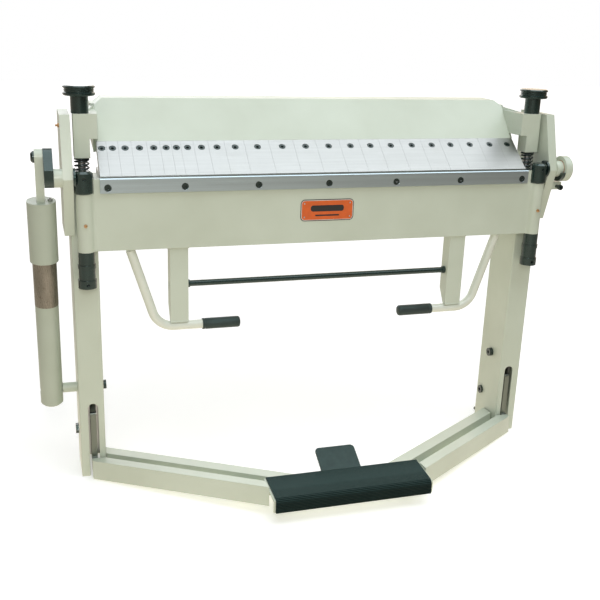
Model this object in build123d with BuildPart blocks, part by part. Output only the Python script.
from build123d import *
import math
import os

os.makedirs("parts", exist_ok=True)

# Foot-operated box-and-pan sheet metal brake, in millimetres.
# Origin: middle of the bend line. X runs along it, Y to the back, Z up.

SIDES = (-1, 1)
WORDS = {-1: "left", 1: "right"}

# ---- driving dimensions ----
bed_height = 861  # bed face above the floor
floor_z = -bed_height
finger_widths = [
    25, 30, 35, 40, 35, 30, 25, 35, 40, 45, 55, 70,
    70, 65, 70, 60, 60, 65, 65, 60, 60, 65, 65, 50,
]
row_length = sum(finger_widths)
row_half = row_length / 2
finger_gap = 0.3
finger_slope = 37.5  # front face of the fingers above the horizontal
finger_length = 123.6
finger_thickness = 25
nose_height = 2
land_z = 0.3

post_in = 619
post_out = 687
post_front = 33
post_rear = 169
post_wall = 5
shoulder_z = -156
seat_z = -23
slot_width = 28
slot_top = floor_z + 222

plate_in = 677
plate_out = 703
bush_out = 724

rod_x = 650
rod_y = 67
rod_r = 10
block_x = 652
block_y = -4
block_r = 23.5
boss_y = -1
boss_r = 21
pin_r = 12
stem_r = 9
running = 0.05
clearance = 0.3

apron_bottom = -192
apron_front = -6
apron_rear = 30
bar_half = 612
bar_front = -15.5
bar_top = -1
bar_bottom = -39

pedal_pivot = (140, floor_z + 102)
lever_pin = (67, floor_z + 78.5)
stop_bolt = (98, floor_z + 251)
lever_in = 642
lever_out = 658

crank_radius = 55
crank_lean = 22.5
crank_pin = (
    crank_radius * math.sin(math.radians(crank_lean)),
    crank_radius * math.cos(math.radians(crank_lean)),
)
balance_x = -757
balance_foot = stop_bolt
balance_length = math.hypot(
    crank_pin[0] - balance_foot[0], crank_pin[1] - balance_foot[1]
)
balance_lean = math.atan2(
    balance_foot[0] - crank_pin[0], crank_pin[1] - balance_foot[1]
)


def outline(*points):
    """Closed straight-sided face on the current sketch plane."""
    Polygon(*points, align=None)


def along_slope(distance, depth):
    """Point (Y, Z) on the finger: distance up its face, depth behind it."""
    a = math.radians(finger_slope)
    y = distance * math.cos(a) + depth * math.sin(a)
    z = nose_height + distance * math.sin(a) - depth * math.cos(a)
    return (y, z)


def finger_plane(x, distance):
    """Plane on the finger's front face, facing outwards."""
    a = math.radians(finger_slope)
    y, z = along_slope(distance, 0)
    return Plane(origin=(x, y, z), x_dir=(1, 0, 0), z_dir=(0, -math.sin(a), math.cos(a)))


def side_plane(x):
    """YZ plane at x: local x is Y and local y is Z."""
    return Plane.YZ.offset(x)


def front_plane(y):
    """XZ plane at depth y, facing the front."""
    return Plane.XZ.offset(-y)


def level(z):
    return Plane.XY.offset(z)


# ================= fixed frame =================

for side in SIDES:
    with BuildPart() as post:
        centre_x = side * (post_in + post_out) / 2
        centre_y = (post_front + post_rear) / 2
        upper_x = side * (post_in + plate_in) / 2
        depth = post_rear - post_front
        with BuildSketch(level(floor_z)):
            with Locations((centre_x, centre_y)):
                RectangleRounded(post_out - post_in, depth, 4)
                Rectangle(
                    post_out - post_in - 2 * post_wall,
                    depth - 2 * post_wall,
                    mode=Mode.SUBTRACT,
                )
        extrude(amount=shoulder_z - floor_z)
        # shoulder that carries the side plate
        with BuildSketch(level(shoulder_z - 6)):
            with Locations((centre_x, centre_y)):
                Rectangle(post_out - post_in - 2, depth - 2)
            with Locations((upper_x, centre_y)):
                Rectangle(
                    plate_in - post_in - 2 * post_wall,
                    depth - 2 * post_wall,
                    mode=Mode.SUBTRACT,
                )
        extrude(amount=6)
        with BuildSketch(level(shoulder_z)):
            with Locations((upper_x, centre_y)):
                Rectangle(plate_in - post_in, depth)
                Rectangle(
                    plate_in - post_in - 2 * post_wall,
                    depth - 2 * post_wall,
                    mode=Mode.SUBTRACT,
                )
        extrude(amount=seat_z - 8 - shoulder_z)
        # spring seat with the guide hole of the pull rod
        with BuildSketch(level(seat_z - 8)):
            with Locations((upper_x, centre_y)):
                Rectangle(plate_in - post_in, depth)
            with Locations((side * rod_x, rod_y)):
                Circle(rod_r + 2, mode=Mode.SUBTRACT)
        extrude(amount=8)
        # lever slot in the front wall
        slot_r = slot_width / 2
        with BuildSketch(front_plane(post_front - 1)):
            with Locations((side * rod_x, (slot_top - slot_r + floor_z) / 2)):
                Rectangle(slot_width, slot_top - slot_r - floor_z)
            with Locations((side * rod_x, slot_top - slot_r)):
                Circle(slot_r)
        extrude(amount=-(post_wall + 2), mode=Mode.SUBTRACT)
        # cross bores of the pivot bolt and of the stop bolt
        with BuildSketch(side_plane(side * (post_in - 1))):
            with Locations(pedal_pivot):
                Circle(10)
            with Locations(stop_bolt):
                Circle(8)
        extrude(amount=side * (post_out - post_in + 2), mode=Mode.SUBTRACT)
    post.part.label = f"post_{WORDS[side]}"
    export_step(post.part, f"parts/post_{WORDS[side]}.step")

with BuildPart() as anchor_brackets:
    for side in SIDES:
        with BuildSketch(side_plane(side * 633)):
            outline(
                (post_rear, floor_z),
                (post_rear + 32, floor_z),
                (post_rear + 32, floor_z + 8),
                (post_rear + 10, floor_z + 12),
                (post_rear + 8, floor_z + 60),
                (post_rear, floor_z + 60),
            )
        extrude(amount=side * 40)
        with BuildSketch(level(floor_z)):
            with Locations((side * 653, post_rear + 20)):
                Circle(6)
        extrude(amount=14, mode=Mode.SUBTRACT)
anchor_brackets.part.label = "anchor_brackets"
export_step(anchor_brackets.part, "parts/anchor_brackets.step")

bed_half = 608
bed_front = 48
bed_rear = 165
bed_bottom = -160
jaw_thickness = 16
jaw_rear = 165
bed_section = [
    (30, -jaw_thickness),
    (bed_front, -50),
    (bed_front, bed_bottom),
    (bed_rear, bed_bottom),
    (bed_rear, -jaw_thickness),
]

with BuildPart() as bed_beam:
    with BuildSketch(side_plane(-bed_half)):
        outline(*bed_section)
        offset(amount=-8, kind=Kind.INTERSECTION, mode=Mode.SUBTRACT)
    extrude(amount=2 * bed_half)
bed_beam.part.label = "bed_beam"
export_step(bed_beam.part, "parts/bed_beam.step")

with BuildPart() as bed_end_plates:
    for side in SIDES:
        with BuildSketch(side_plane(side * bed_half)):
            outline(*bed_section)
        extrude(amount=side * (post_in - bed_half))
bed_end_plates.part.label = "bed_end_plates"
export_step(bed_end_plates.part, "parts/bed_end_plates.step")

with BuildPart() as bed_jaw:
    with BuildSketch(side_plane(-bed_half)):
        outline(
            (0.5, 0),
            (0.5, -12),
            (6, -jaw_thickness),
            (jaw_rear, -jaw_thickness),
            (jaw_rear, 0),
        )
    extrude(amount=2 * bed_half)
bed_jaw.part.label = "bed_jaw"
export_step(bed_jaw.part, "parts/bed_jaw.step")

for side in SIDES:
    with BuildPart() as side_plate:
        with BuildSketch(side_plane(side * plate_in)):
            outline((28, 154), (-20, -2), (24, -155), (post_rear, shoulder_z), (173, 154))
            Circle(16, mode=Mode.SUBTRACT)
        extrude(amount=side * (plate_out - plate_in))
        # tapped hole in the top face
        with BuildSketch(level(154)):
            with Locations((side * 688, 38)):
                Circle(5)
        extrude(amount=-14, mode=Mode.SUBTRACT)
    side_plate.part.label = f"side_plate_{WORDS[side]}"
    export_step(side_plate.part, f"parts/side_plate_{WORDS[side]}.step")

with BuildPart() as hinge_bushes:
    for side in SIDES:
        with BuildSketch(side_plane(side * plate_in)):
            Circle(16)
            Circle(pin_r + running, mode=Mode.SUBTRACT)
        extrude(amount=side * (bush_out - plate_in))
        with BuildSketch(side_plane(side * plate_out)):
            Circle(23.5)
            Circle(pin_r + running, mode=Mode.SUBTRACT)
        extrude(amount=side * (bush_out - plate_out))
hinge_bushes.part.label = "hinge_bushes"
export_step(hinge_bushes.part, "parts/hinge_bushes.step")

bolt_head_r = 13
with BuildPart() as cross_bolts:
    for side in SIDES:
        for place, shank_r, head in ((pedal_pivot, 10, 6), (stop_bolt, 8, 12)):
            with BuildSketch(side_plane(side * post_in)):
                with Locations(place):
                    Circle(shank_r)
            extrude(amount=side * (post_out - post_in))
            # socket head on the inner wall
            with BuildSketch(side_plane(side * post_in)):
                with Locations(place):
                    Circle(bolt_head_r)
            extrude(amount=-side * head)
            with BuildSketch(side_plane(side * (post_in - head))):
                with Locations(place):
                    RegularPolygon(6, 6)
            extrude(amount=side * 5, mode=Mode.SUBTRACT)
        with BuildSketch(side_plane(side * post_out)):
            with Locations(pedal_pivot):
                RegularPolygon(15, 6)
        extrude(amount=side * 8)
cross_bolts.part.label = "cross_bolts"
export_step(cross_bolts.part, "parts/cross_bolts.step")

with BuildPart() as balance_anchor:
    with BuildSketch(side_plane(-post_out)):
        with Locations(balance_foot):
            Circle(14)
    extrude(amount=-(726.2 - post_out))
    with BuildSketch(side_plane(-726.2)):
        with Locations(balance_foot):
            Circle(8)
    extrude(amount=-48)
balance_anchor.part.label = "balance_anchor"
export_step(balance_anchor.part, "parts/balance_anchor.step")

spring_wire = 2.5
spring_r = 17.5
spring_turns = 7
spring_top = 42
with BuildPart() as clamp_springs:
    for side in SIDES:
        with BuildLine() as coil:
            Helix(
                pitch=(spring_top - seat_z - 2 * spring_wire) / spring_turns,
                height=spring_top - seat_z - 2 * spring_wire,
                radius=spring_r,
                center=(side * rod_x, rod_y, seat_z + spring_wire),
            )
        with BuildSketch(Plane(origin=coil.line @ 0, z_dir=coil.line % 0)):
            Circle(spring_wire - 0.1)
        sweep(path=coil.line)
clamp_springs.part.label = "clamp_springs"
export_step(clamp_springs.part, "parts/clamp_springs.step")

with BuildPart() as oil_nipples:
    for side in SIDES:
        with BuildSketch(side_plane(side * plate_out)):
            with Locations((58, 124)):
                Circle(5.5)
        extrude(amount=side * 5)
        with BuildSketch(side_plane(side * (plate_out + 5))):
            with Locations((58, 124)):
                Circle(3.5)
        extrude(amount=side * 5)
oil_nipples.part.label = "oil_nipples"
export_step(oil_nipples.part, "parts/oil_nipples.step")

lug_top = -40
with BuildPart() as angle_stop_lug:
    with BuildSketch(side_plane(plate_out)):
        outline((-2, lug_top), (-2, lug_top - 22), (20, lug_top - 22), (24, lug_top))
    extrude(amount=32)
    with BuildSketch(front_plane(-3)):
        with Locations((plate_out + 16, lug_top - 12)):
            Circle(5)
    extrude(amount=-30, mode=Mode.SUBTRACT)
angle_stop_lug.part.label = "angle_stop_lug"
export_step(angle_stop_lug.part, "parts/angle_stop_lug.step")

with BuildPart() as angle_stop_screw:
    with BuildSketch(front_plane(22)):
        with Locations((plate_out + 16, lug_top - 12)):
            Circle(5)
    extrude(amount=40)
    with BuildSketch(front_plane(-18)):
        with Locations((plate_out + 16, lug_top - 12)):
            Circle(8)
            RegularPolygon(4, 6, mode=Mode.SUBTRACT)
    extrude(amount=8)
angle_stop_screw.part.label = "angle_stop_screw"
export_step(angle_stop_screw.part, "parts/angle_stop_screw.step")

# ================= leaf hinge =================

block_top = 18
block_bottom = -40
for side in SIDES:
    with BuildPart() as hinge_block:
        with BuildSketch(level(block_bottom)):
            with Locations((side * block_x, block_y)):
                Circle(block_r)
        extrude(amount=block_top - block_bottom)
        rims = hinge_block.edges().filter_by(GeomType.CIRCLE).sort_by(Axis.Z)
        chamfer(rims[0], 3)
        chamfer(rims[-1], 5, 7)
        # flange that runs against the side plate
        with BuildSketch(side_plane(side * 671)):
            Circle(25)
        extrude(amount=side * (plate_in - clearance - 671))
        with BuildSketch(side_plane(side * (block_x - 12))):
            Circle(pin_r)
        extrude(amount=side * 50, mode=Mode.SUBTRACT)
        # tommy bar holes round the side that faces the fingers
        for turn in (0, -60, -120, 180):
            out = Vector(0, -1, 0).rotate(Axis.Z, -side * turn)
            middle = Vector(side * block_x, block_y, 0)
            with BuildSketch(Plane(origin=middle + out * (block_r + 1), z_dir=out)):
                Circle(4.5)
            extrude(amount=-10, mode=Mode.SUBTRACT)
    hinge_block.part.label = f"hinge_block_{WORDS[side]}"
    export_step(hinge_block.part, f"parts/hinge_block_{WORDS[side]}.step")

with BuildPart() as hinge_pins:
    for side in SIDES:
        with BuildSketch(side_plane(side * (block_x - 12))):
            Circle(pin_r)
        extrude(amount=side * (747 - block_x + 12))
hinge_pins.part.label = "hinge_pins"
export_step(hinge_pins.part, "parts/hinge_pins.step")

stack_bottom = -289
with BuildPart() as height_screws:
    for side in SIDES:
        with BuildSketch(level(block_bottom)):
            with Locations((side * block_x, boss_y)):
                Circle(stem_r)
        extrude(amount=stack_bottom - block_bottom)
height_screws.part.label = "height_screws"
export_step(height_screws.part, "parts/height_screws.step")

with BuildPart() as balance_crank:
    with BuildSketch(side_plane(-bush_out - clearance)):
        Circle(24)
        # square front shoulder of the hub
        with Locations((-18, 17)):
            Rectangle(12, 12)
        with Locations(crank_pin):
            Circle(22)
        make_hull()
        Circle(pin_r, mode=Mode.SUBTRACT)
        with Locations(crank_pin):
            Circle(10, mode=Mode.SUBTRACT)
    extrude(amount=-(747 - bush_out - clearance))
balance_crank.part.label = "balance_crank"
export_step(balance_crank.part, "parts/balance_crank.step")

with BuildPart() as hub_disc:
    with BuildSketch(side_plane(bush_out + clearance)):
        Circle(37)
        Circle(pin_r, mode=Mode.SUBTRACT)
    extrude(amount=748 - bush_out - clearance)
    chamfer(hub_disc.faces().sort_by(Axis.X)[-1].outer_wire().edges(), 3)
hub_disc.part.label = "hub_disc"
export_step(hub_disc.part, "parts/hub_disc.step")

# crescent that meets the angle stop at the chosen bend angle
with BuildPart() as stop_cam:
    with BuildSketch(side_plane(bush_out + clearance)):
        Circle(36)
        Circle(24.5, mode=Mode.SUBTRACT)
        Polygon((-60, 60), (-60, -2), (60, -26), (60, 60), align=None, mode=Mode.SUBTRACT)
    extrude(amount=-10)
stop_cam.part.label = "stop_cam"
export_step(stop_cam.part, "parts/stop_cam.step")

# ================= apron (bending leaf) =================

panel_half = 628
lip_top = -3
panel_section = [
    (apron_front, apron_bottom),
    (apron_front, lip_top),
    (-1, lip_top),
    (-1, -40),
    (apron_rear, -72),
    (apron_rear, apron_bottom),
]
with BuildPart() as apron_panel:
    with BuildSketch(side_plane(-panel_half)):
        outline(*panel_section)
        Polygon(
            (apron_front + 4, apron_bottom + 4),
            (apron_front + 4, -47),
            (apron_rear - 4, -75),
            (apron_rear - 4, apron_bottom + 4),
            align=None,
            mode=Mode.SUBTRACT,
        )
    extrude(amount=2 * panel_half)
apron_panel.part.label = "apron_panel"
export_step(apron_panel.part, "parts/apron_panel.step")

with BuildPart() as apron_ends:
    for side in SIDES:
        with BuildSketch(side_plane(side * panel_half)):
            outline(
                (apron_front, apron_bottom),
                (apron_front, -40.2),
                (-1, -40.2),
                (apron_rear, -72),
                (apron_rear, apron_bottom),
            )
        extrude(amount=side * 6)
        with BuildSketch(level(apron_bottom)):
            with Locations((side * block_x, boss_y)):
                Circle(boss_r)
            outline(
                (side * panel_half, apron_front),
                (side * block_x, apron_front),
                (side * block_x, boss_y + boss_r),
                (side * panel_half, boss_y + boss_r),
            )
        extrude(amount=-40.2 - apron_bottom)
        with BuildSketch(level(-40)):
            with Locations((side * block_x, boss_y)):
                Circle(stem_r + 0.5)
        extrude(amount=-200, mode=Mode.SUBTRACT)
apron_ends.part.label = "apron_ends"
export_step(apron_ends.part, "parts/apron_ends.step")

collar_bottom = -226
collar_r = 21
with BuildPart() as apron_collars:
    for side in SIDES:
        with BuildSketch(level(apron_bottom)):
            with Locations((side * block_x, boss_y)):
                Circle(collar_r)
                Circle(stem_r + 0.5, mode=Mode.SUBTRACT)
        extrude(amount=collar_bottom - apron_bottom)
apron_collars.part.label = "apron_collars"
export_step(apron_collars.part, "parts/apron_collars.step")

bar_screws = [(i * 197.6, -25) for i in range(-3, 4)]
bar_bore_r = 9.5
bar_bore_depth = 7
bar_head_r = 8.5
bar_head = 6.5
with BuildPart() as apron_edge_bar:
    with BuildSketch(side_plane(-bar_half)):
        outline(
            (apron_front, bar_bottom),
            (bar_front, bar_bottom),
            (bar_front, bar_top - 2),
            (bar_front + 2, bar_top),
            (apron_front, bar_top),
        )
    extrude(amount=2 * bar_half)
    with BuildSketch(front_plane(bar_front)):
        with Locations(*bar_screws):
            Circle(4.2)
    extrude(amount=-(apron_front - bar_front), mode=Mode.SUBTRACT)
    with BuildSketch(front_plane(bar_front)):
        with Locations(*bar_screws):
            Circle(bar_bore_r)
    extrude(amount=-bar_bore_depth, mode=Mode.SUBTRACT)
apron_edge_bar.part.label = "apron_edge_bar"
export_step(apron_edge_bar.part, "parts/apron_edge_bar.step")

with BuildPart() as edge_bar_screws:
    with BuildSketch(front_plane(apron_front)):
        with Locations(*bar_screws):
            Circle(4.2)
    extrude(amount=apron_front - bar_front - bar_bore_depth)
    with BuildSketch(front_plane(bar_front + bar_bore_depth)):
        with Locations(*bar_screws):
            Circle(bar_head_r)
    extrude(amount=bar_head)
    with BuildSketch(front_plane(bar_front + bar_bore_depth - bar_head)):
        with Locations(*bar_screws):
            RegularPolygon(4.6, 6)
    extrude(amount=-4, mode=Mode.SUBTRACT)
edge_bar_screws.part.label = "edge_bar_screws"
export_step(edge_bar_screws.part, "parts/edge_bar_screws.step")

truss_y = 22
truss_z = -300
truss_r = 8.5
strut_in = 386
strut_out = 435
strut_bottom = -402.3
with BuildPart() as struts:
    for side in SIDES:
        with BuildSketch(side_plane(side * strut_in)):
            outline(
                (0, apron_bottom),
                (42, apron_bottom),
                (42, -360),
                (14, strut_bottom),
                (0, strut_bottom),
            )
            with Locations((truss_y, truss_z)):
                Circle(truss_r, mode=Mode.SUBTRACT)
        extrude(amount=side * (strut_out - strut_in))
struts.part.label = "struts"
export_step(struts.part, "parts/struts.step")

truss_half = strut_out - 3
with BuildPart() as truss_rod:
    with BuildSketch(side_plane(-truss_half)):
        with Locations((truss_y, truss_z)):
            Circle(truss_r)
    extrude(amount=2 * truss_half)
truss_rod.part.label = "truss_rod"
export_step(truss_rod.part, "parts/truss_rod.step")

with BuildPart() as truss_collars:
    for side in SIDES:
        with BuildSketch(side_plane(side * strut_in)):
            with Locations((truss_y, truss_z)):
                Circle(11)
                Circle(truss_r, mode=Mode.SUBTRACT)
        extrude(amount=-side * 7)
truss_collars.part.label = "truss_collars"
export_step(truss_collars.part, "parts/truss_collars.step")

handle_y = 12
handle_r = 12.5
handle_z = -416
handle_corner = 469
handle_top = (538, -196.5)
grip_outer = 346
grip_inner = 239
with BuildPart() as handles:
    for side in SIDES:
        with BuildLine() as bend:
            FilletPolyline(
                (side * handle_top[0], handle_y, handle_top[1]),
                (side * handle_corner, handle_y, handle_z),
                (side * (grip_inner + 4), handle_y, handle_z),
                radius=60,
            )
        with BuildSketch(Plane(origin=bend.line @ 0, z_dir=bend.line % 0)):
            Circle(handle_r)
        sweep(path=bend.line)
handles.part.label = "handles"
export_step(handles.part, "parts/handles.step")

with BuildPart() as handle_grips:
    for side in SIDES:
        with BuildSketch(side_plane(side * grip_inner)):
            with Locations((handle_y, handle_z)):
                Circle(15.5)
        extrude(amount=side * (grip_outer - grip_inner))
        with BuildSketch(side_plane(side * (grip_inner + 4))):
            with Locations((handle_y, handle_z)):
                Circle(handle_r)
        extrude(amount=side * (grip_outer - grip_inner), mode=Mode.SUBTRACT)
handle_grips.part.label = "handle_grips"
export_step(handle_grips.part, "parts/handle_grips.step")

with BuildPart() as grease_nipples:
    for side in SIDES:
        with BuildSketch(front_plane(boss_y - boss_r)):
            with Locations((side * block_x, -120)):
                Circle(4.5)
        extrude(amount=5)
        with BuildSketch(front_plane(boss_y - boss_r - 5)):
            with Locations((side * block_x, -120)):
                Circle(3)
        extrude(amount=4)
grease_nipples.part.label = "grease_nipples"
export_step(grease_nipples.part, "parts/grease_nipples.step")

badge_width = 154
badge_height = 60
badge_z = -101
with BuildPart() as badge:
    with BuildSketch(front_plane(apron_front)):
        with Locations((0, badge_z)):
            RectangleRounded(badge_width, badge_height, 12)
    extrude(amount=2)
badge.part.label = "badge"
export_step(badge.part, "parts/badge.step")

for side in SIDES:
    with BuildPart() as height_nut:
        # ring, body and lower ring of the adjuster, from the top down
        for top, bottom, radius in (
            (collar_bottom, -236, 23),
            (-236, -267, 21.5),
            (-267, stack_bottom, 24),
        ):
            with BuildSketch(level(top)):
                with Locations((side * block_x, boss_y)):
                    Circle(radius)
                    Circle(stem_r + 0.5, mode=Mode.SUBTRACT)
            extrude(amount=bottom - top)
        with BuildSketch(front_plane(boss_y - 26)):
            with Locations((side * block_x, -278)):
                Circle(4)
        extrude(amount=-14, mode=Mode.SUBTRACT)
    height_nut.part.label = f"height_nut_{WORDS[side]}"
    export_step(height_nut.part, f"parts/height_nut_{WORDS[side]}.step")

# ================= clamping beam =================

beam_half = 606
beam_top = 181
beam_rear = 262
panel_foot = along_slope(finger_length, 0)
finger_back = along_slope(finger_length, finger_thickness)
seat_start = along_slope(90, finger_thickness)
seat_low = along_slope(90, 40)
seat_high = along_slope(130, 40)
beam_section = [
    panel_foot,
    (185, beam_top),
    (beam_rear, beam_top),
    (beam_rear, 75),
    seat_high,
    seat_low,
    seat_start,
    finger_back,
]
screw_distance = 98.5
screw_depth = 12
finger_bore_r = 9.5
finger_bore_depth = 11
finger_head_r = 8.5
finger_head = 10.2

finger_centres = []
edge = -row_half
for width in finger_widths:
    finger_centres.append(edge + width / 2)
    edge += width

hollow_half = 570
with BuildPart() as clamp_beam:
    with BuildSketch(side_plane(-beam_half)):
        outline(*beam_section)
    extrude(amount=2 * beam_half)
    # hollow between the solid ends
    with BuildSketch(side_plane(-hollow_half)):
        outline((113, 80), (189, 173), (254, 173), (254, 82), (132, 60))
    extrude(amount=2 * hollow_half, mode=Mode.SUBTRACT)
    # corners of the top edge
    with BuildSketch(front_plane(0)):
        for side in SIDES:
            outline(
                (side * 583, beam_top + 1),
                (side * (beam_half + 1), beam_top + 1),
                (side * (beam_half + 1), beam_top - 17),
            )
    extrude(amount=-300, mode=Mode.SUBTRACT)
    for x in finger_centres:
        if abs(x) < beam_half - 6:
            with BuildSketch(finger_plane(x, screw_distance)):
                Circle(5)
            extrude(amount=-(finger_thickness + screw_depth), mode=Mode.SUBTRACT)
clamp_beam.part.label = "clamp_beam"
export_step(clamp_beam.part, "parts/clamp_beam.step")

block_front = 44
block_back = 90
block_low = 42
block_mid = 91
block_high = 154
plate_thickness = 10
plate_bevel = 8
plate_top = beam_top - 14
for side in SIDES:
    with BuildPart() as beam_end:
        with BuildSketch(level(block_low)):
            outline(
                (side * 629, block_front),
                (side * 669, block_front),
                (side * 669, block_back),
                (side * 629, block_back),
            )
        extrude(amount=block_mid - block_low)
        with BuildSketch(level(block_mid)):
            outline(
                (side * 609, block_front),
                (side * 669, block_front),
                (side * 669, block_back),
                (side * 640, block_back),
                (side * 622, 158),
                (side * beam_half, 158),
                (side * beam_half, 98),
                (side * 609, 52),
            )
        extrude(amount=block_high - block_mid)
        # end plate, its front edge bevelled back
        for x, back in ((beam_half, 0), (beam_half + plate_thickness, plate_bevel)):
            with BuildSketch(side_plane(side * x)):
                outline(
                    (panel_foot[0] + back, panel_foot[1]),
                    (174 + back, plate_top),
                    (beam_rear, plate_top),
                    (beam_rear, 75),
                    seat_high,
                    along_slope(123.6, 40),
                    (finger_back[0] + back / 2, finger_back[1]),
                )
        loft(ruled=True)
        # web that slopes from the end plate's top down to the block
        with BuildSketch(side_plane(side * (beam_half + 1))):
            outline((121, block_mid), (176, plate_top - 3), (240, plate_top - 3), (240, block_mid))
        with BuildSketch(side_plane(side * 640)):
            outline((76, block_mid), (76, block_high - 3), (90, block_high - 3), (90, block_mid))
        loft(ruled=True)
        with BuildSketch(level(block_low)):
            with Locations((side * rod_x, rod_y)):
                Circle(rod_r)
        extrude(amount=block_high - block_low, mode=Mode.SUBTRACT)
    beam_end.part.label = f"beam_end_{WORDS[side]}"
    export_step(beam_end.part, f"parts/beam_end_{WORDS[side]}.step")

finger_section = [
    (0, land_z),
    (0, nose_height),
    panel_foot,
    finger_back,
    (38.5, land_z),
]
finger_groups = {"narrow": (25, 35), "medium": (40, 55), "wide": (60, 70)}
for name, (least, most) in finger_groups.items():
    with BuildPart() as fingers:
        for width, x in zip(finger_widths, finger_centres):
            if least <= width <= most:
                with BuildSketch(side_plane(x - (width - finger_gap) / 2)):
                    outline(*finger_section)
                extrude(amount=width - finger_gap)
                with BuildSketch(finger_plane(x, screw_distance)):
                    Circle(5)
                extrude(amount=-finger_thickness, mode=Mode.SUBTRACT)
                with BuildSketch(finger_plane(x, screw_distance)):
                    Circle(finger_bore_r)
                extrude(amount=-finger_bore_depth, mode=Mode.SUBTRACT)
    fingers.part.label = f"fingers_{name}"
    export_step(fingers.part, f"parts/fingers_{name}.step")

with BuildPart() as finger_screws:
    for x in finger_centres:
        bore_floor = finger_plane(x, screw_distance).offset(-finger_bore_depth)
        with BuildSketch(bore_floor):
            Circle(5)
        extrude(amount=-(finger_thickness + screw_depth - finger_bore_depth))
        with BuildSketch(bore_floor):
            Circle(finger_head_r)
        extrude(amount=finger_head)
        with BuildSketch(bore_floor.offset(finger_head)):
            RegularPolygon(4.6, 6)
        extrude(amount=-5, mode=Mode.SUBTRACT)
finger_screws.part.label = "finger_screws"
export_step(finger_screws.part, "parts/finger_screws.step")

fork_top = floor_z + 262
fork_crotch = floor_z + 245
fork_bottom = floor_z + 60
knob_low = 198
with BuildPart() as pull_rods:
    for side in SIDES:
        with BuildSketch(level(fork_top)):
            with Locations((side * rod_x, rod_y)):
                Circle(rod_r)
        extrude(amount=knob_low + 14 - fork_top)
        with BuildSketch(level(fork_bottom)):
            with Locations((side * rod_x, rod_y)):
                Rectangle(32, 30)
        extrude(amount=fork_top - fork_bottom)
        with BuildSketch(level(fork_bottom)):
            with Locations((side * rod_x, rod_y)):
                Rectangle(lever_out - lever_in + 0.6, 30)
        extrude(amount=fork_crotch - fork_bottom, mode=Mode.SUBTRACT)
        # elongated holes for the lever pin
        with BuildSketch(side_plane(side * (rod_x - 17))):
            with Locations((lever_pin[0] - 2, lever_pin[1])):
                SlotOverall(22, 15.4)
        extrude(amount=side * 34, mode=Mode.SUBTRACT)
pull_rods.part.label = "pull_rods"
export_step(pull_rods.part, "parts/pull_rods.step")

with BuildPart() as clamp_sleeves:
    for side in SIDES:
        with BuildSketch(level(block_high)):
            with Locations((side * rod_x, rod_y)):
                Circle(22.5)
                Circle(rod_r, mode=Mode.SUBTRACT)
        extrude(amount=knob_low - block_high)
clamp_sleeves.part.label = "clamp_sleeves"
export_step(clamp_sleeves.part, "parts/clamp_sleeves.step")

# half section: radius, height above the knob's underside
knob_profile = [
    (0, 0), (38, 0), (40.5, 2.5), (40.5, 7), (37, 9.5), (37, 12.5), (38.2, 13.5),
    (38.2, 14.5), (37, 15.5), (37, 18), (40.5, 20), (40.5, 23), (37, 25.5), (0, 26),
]
for side in SIDES:
    with BuildPart() as knob:
        knob_foot = (side * rod_x, rod_y, knob_low)
        with BuildSketch(Plane(origin=knob_foot, x_dir=(1, 0, 0), z_dir=(0, -1, 0))):
            outline(*knob_profile)
        revolve(axis=Axis((side * rod_x, rod_y, 0), (0, 0, 1)))
        with BuildSketch(level(knob_low)):
            with Locations((side * rod_x, rod_y)):
                Circle(rod_r + running)
        extrude(amount=15, mode=Mode.SUBTRACT)
    knob.part.label = f"knob_{WORDS[side]}"
    export_step(knob.part, f"parts/knob_{WORDS[side]}.step")

# ================= pedal =================

tread_rear = -233
tread_front = -343
arm_tilt = 5
arm_foot = 3
arm_height = 54
arm_clearance = 1  # least height above the floor
spacer_height = 16
arm_angle = 34.8
arm_width = 34  # front member
arm_gap = 27
rear_width = 40  # rear member
arm_front_x = 225
arm_slope = math.tan(math.radians(arm_angle))
arm_step = 1 / math.cos(math.radians(arm_angle))
arm_corner = (658, 8)
arm_back = 25  # rear face of the arm in front of the post, at its foot


def arm_y(x, across):
    """Y of a line along the arm at x, a given distance behind its front edge."""
    return arm_corner[1] - (arm_corner[0] - x) * arm_slope + across * arm_step


def arm_x(y, across):
    """X where that line reaches a given Y."""
    return arm_corner[0] - (arm_corner[1] + across * arm_step - y) / arm_slope


tilt = math.radians(arm_tilt)
arm_base = Plane(
    origin=(0, arm_corner[1], floor_z + arm_foot),
    x_dir=(1, 0, 0),
    z_dir=(0, math.sin(tilt), math.cos(tilt)),
)


def arm_outline(side, *points):
    """Plan outline of an arm on its tilted base plane."""
    outline(*[(side * x, (y - arm_corner[1]) / math.cos(tilt)) for x, y in points])


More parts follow.
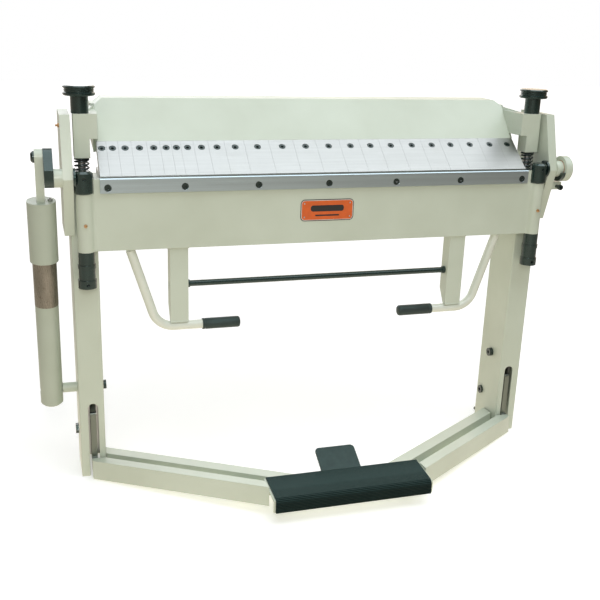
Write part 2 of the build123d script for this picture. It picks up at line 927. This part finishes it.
rear_start = arm_width + arm_gap
rear_end = rear_start + rear_width
arm_tail = 616
arm_reach = tread_rear - 10
for side in SIDES:
    with BuildPart() as pedal_arm:
        with BuildSketch(arm_base):
            # front member, notched round the post
            arm_outline(
                side,
                arm_corner,
                (arm_corner[0], arm_back),
                (617, arm_back),
                (617, arm_y(617, arm_width)),
                (arm_front_x, arm_y(arm_front_x, arm_width)),
                (arm_front_x, arm_y(arm_front_x, 0)),
            )
            # rear member, from beside the post to the back of the tread
            arm_outline(
                side,
                (arm_tail, arm_y(arm_tail, rear_start)),
                (arm_tail, arm_y(arm_tail, rear_end)),
                (arm_x(arm_reach, rear_end), arm_reach),
                (arm_x(arm_reach, rear_start), arm_reach),
            )
        extrude(amount=arm_height)
        # low spacers join the two members
        with BuildSketch(arm_base):
            for near, far in ((540, 600), (240, 300)):
                arm_outline(
                    side,
                    (near, arm_y(near, arm_width)),
                    (far, arm_y(far, arm_width)),
                    (far, arm_y(far, rear_start)),
                    (near, arm_y(near, rear_start)),
                )
        extrude(amount=spacer_height)
        # cut upright behind the tread, and level above the floor
        with BuildSketch(level(floor_z)):
            with Locations((side * arm_front_x / 2, tread_rear - 29.8)):
                Rectangle(arm_front_x - 0.4, 60)
        extrude(amount=120, mode=Mode.SUBTRACT)
        with BuildSketch(level(floor_z + arm_clearance)):
            with Locations((side * 400, 0)):
                Rectangle(700, 400)
        extrude(amount=-30, mode=Mode.SUBTRACT)
    pedal_arm.part.label = f"pedal_arm_{WORDS[side]}"
    export_step(pedal_arm.part, f"parts/pedal_arm_{WORDS[side]}.step")

with BuildPart() as pedal_crossbar:
    with BuildSketch(side_plane(-arm_front_x)):
        outline(
            (tread_rear, floor_z + 38),
            (tread_rear, floor_z + 78),
            (tread_front + 5, floor_z + 70),
            (tread_front + 5, floor_z + 35),
            (tread_front + 10, floor_z + 35),
            (tread_front + 10, floor_z + 65),
            (tread_rear - 5, floor_z + 72.5),
            (tread_rear - 5, floor_z + 38),
        )
    extrude(amount=2 * arm_front_x)
pedal_crossbar.part.label = "pedal_crossbar"
export_step(pedal_crossbar.part, "parts/pedal_crossbar.step")

tread_half = 220
with BuildPart() as pedal_tread:
    with BuildSketch(side_plane(-tread_half)):
        outline(
            (tread_rear, floor_z + 78),
            (tread_rear, floor_z + 83),
            (tread_front, floor_z + 75),
            (tread_front, floor_z + 35),
            (tread_front + 5, floor_z + 35),
            (tread_front + 5, floor_z + 70),
        )
    extrude(amount=2 * tread_half)
pedal_tread.part.label = "pedal_tread"
export_step(pedal_tread.part, "parts/pedal_tread.step")

with BuildPart() as toe_plate:
    with BuildSketch(side_plane(-58)):
        outline(
            (tread_rear, floor_z + 64),
            (-221, floor_z + 69),
            (-150, floor_z + 104),
            (-153, floor_z + 110),
            (-223, floor_z + 76),
            (tread_rear, floor_z + 73),
        )
    extrude(amount=116)
toe_plate.part.label = "toe_plate"
export_step(toe_plate.part, "parts/toe_plate.step")

with BuildPart() as pedal_levers:
    for side in SIDES:
        with BuildSketch(side_plane(side * lever_in)):
            with Locations(pedal_pivot):
                Circle(24)
            with Locations(lever_pin):
                Circle(19)
            make_hull()
            outline(
                (arm_back + 1.4, floor_z + 14),
                (arm_back + 5, floor_z + 54),
                (38, floor_z + 58),
                (38, floor_z + 185),
                (52, floor_z + 185),
                (52, floor_z + 96),
                (67, floor_z + 80),
                (67, floor_z + 60),
                (48, floor_z + 14),
            )
            with Locations((45, floor_z + 185)):
                Circle(7)
            with Locations(pedal_pivot):
                Circle(10 + running, mode=Mode.SUBTRACT)
            with Locations(lever_pin):
                Circle(7, mode=Mode.SUBTRACT)
        extrude(amount=side * (lever_out - lever_in))
pedal_levers.part.label = "pedal_levers"
export_step(pedal_levers.part, "parts/pedal_levers.step")

with BuildPart() as lever_pins:
    for side in SIDES:
        with BuildSketch(side_plane(side * (rod_x - 18))):
            with Locations(lever_pin):
                Circle(7)
        extrude(amount=side * 36)
lever_pins.part.label = "lever_pins"
export_step(lever_pins.part, "parts/lever_pins.step")

# ================= counterbalance =================

balance_plane = Plane(
    origin=(balance_x, balance_foot[0], balance_foot[1]),
    x_dir=(1, 0, 0),
    z_dir=(0, -math.sin(balance_lean), math.cos(balance_lean)),
)
tube_r = 30.5
bare_r = 30.9
sleeve_r = 36.5
tube_low = -45
tube_high = 261
bare_high = 435
sleeve_low = 387
sleeve_high = 551
cap_height = 12

with BuildPart() as balance_tube:
    with BuildSketch(balance_plane.offset(tube_low)):
        Circle(tube_r)
    extrude(amount=tube_high - tube_low)
    chamfer(balance_tube.faces().sort_by(Axis.Z)[0].edges(), 6)
    with BuildSketch(balance_plane.offset(20)):
        Circle(tube_r - 4)
    extrude(amount=tube_high - 20, mode=Mode.SUBTRACT)
    with BuildSketch(side_plane(balance_x + 40)):
        with Locations(balance_foot):
            Circle(8 + running)
    extrude(amount=-80, mode=Mode.SUBTRACT)
balance_tube.part.label = "balance_tube"
export_step(balance_tube.part, "parts/balance_tube.step")

with BuildPart() as balance_ram:
    with BuildSketch(balance_plane.offset(tube_high)):
        Circle(bare_r)
        Circle(bare_r - 5, mode=Mode.SUBTRACT)
    extrude(amount=bare_high - tube_high)
balance_ram.part.label = "balance_ram"
export_step(balance_ram.part, "parts/balance_ram.step")

coil_r = 20
coil_wire = 3
coil_turns = 18
coil_low = 22
coil_height = sleeve_high - cap_height - coil_low - 4 * coil_wire
with BuildPart() as balance_spring:
    with BuildLine() as balance_coil:
        Helix(
            pitch=coil_height / coil_turns,
            height=coil_height,
            radius=coil_r,
            center=balance_plane.offset(coil_low + 2 * coil_wire).origin,
            direction=balance_plane.z_dir,
        )
    with BuildSketch(Plane(origin=balance_coil.line @ 0, z_dir=balance_coil.line % 0)):
        Circle(coil_wire)
    sweep(path=balance_coil.line)
balance_spring.part.label = "balance_spring"
export_step(balance_spring.part, "parts/balance_spring.step")

with BuildPart() as balance_sleeve:
    with BuildSketch(balance_plane.offset(sleeve_low)):
        Circle(sleeve_r)
    extrude(amount=sleeve_high - sleeve_low)
    with BuildSketch(balance_plane.offset(sleeve_low)):
        Circle(bare_r + clearance)
    extrude(amount=sleeve_high - cap_height - sleeve_low, mode=Mode.SUBTRACT)
balance_sleeve.part.label = "balance_sleeve"
export_step(balance_sleeve.part, "parts/balance_sleeve.step")

link_near = 747 + clearance
link_far = 768
link_plane = Plane(
    origin=(-link_near, balance_foot[0], balance_foot[1]),
    x_dir=(0, -math.cos(balance_lean), -math.sin(balance_lean)),
    z_dir=(-1, 0, 0),
)
with BuildPart() as balance_link:
    with BuildSketch(link_plane):
        outline(
            (-18, sleeve_high),
            (18, sleeve_high),
            (20, balance_length),
            (-20, balance_length),
        )
        with Locations((0, balance_length)):
            Circle(20)
            Circle(9, mode=Mode.SUBTRACT)
    extrude(amount=link_far - link_near)
balance_link.part.label = "balance_link"
export_step(balance_link.part, "parts/balance_link.step")

with BuildPart() as link_bolt:
    with BuildSketch(link_plane):
        with Locations((0, balance_length)):
            Circle(9)
    extrude(amount=link_far - link_near)
    with BuildSketch(link_plane.offset(link_far - link_near)):
        with Locations((0, balance_length)):
            Circle(15)
    extrude(amount=9)
    chamfer(link_bolt.faces().sort_by(Axis.X)[0].edges(), 5)
    with BuildSketch(link_plane.offset(link_far - link_near + 9)):
        with Locations((0, balance_length)):
            RegularPolygon(5.5, 6)
    extrude(amount=-5, mode=Mode.SUBTRACT)
link_bolt.part.label = "link_bolt"
export_step(link_bolt.part, "parts/link_bolt.step")
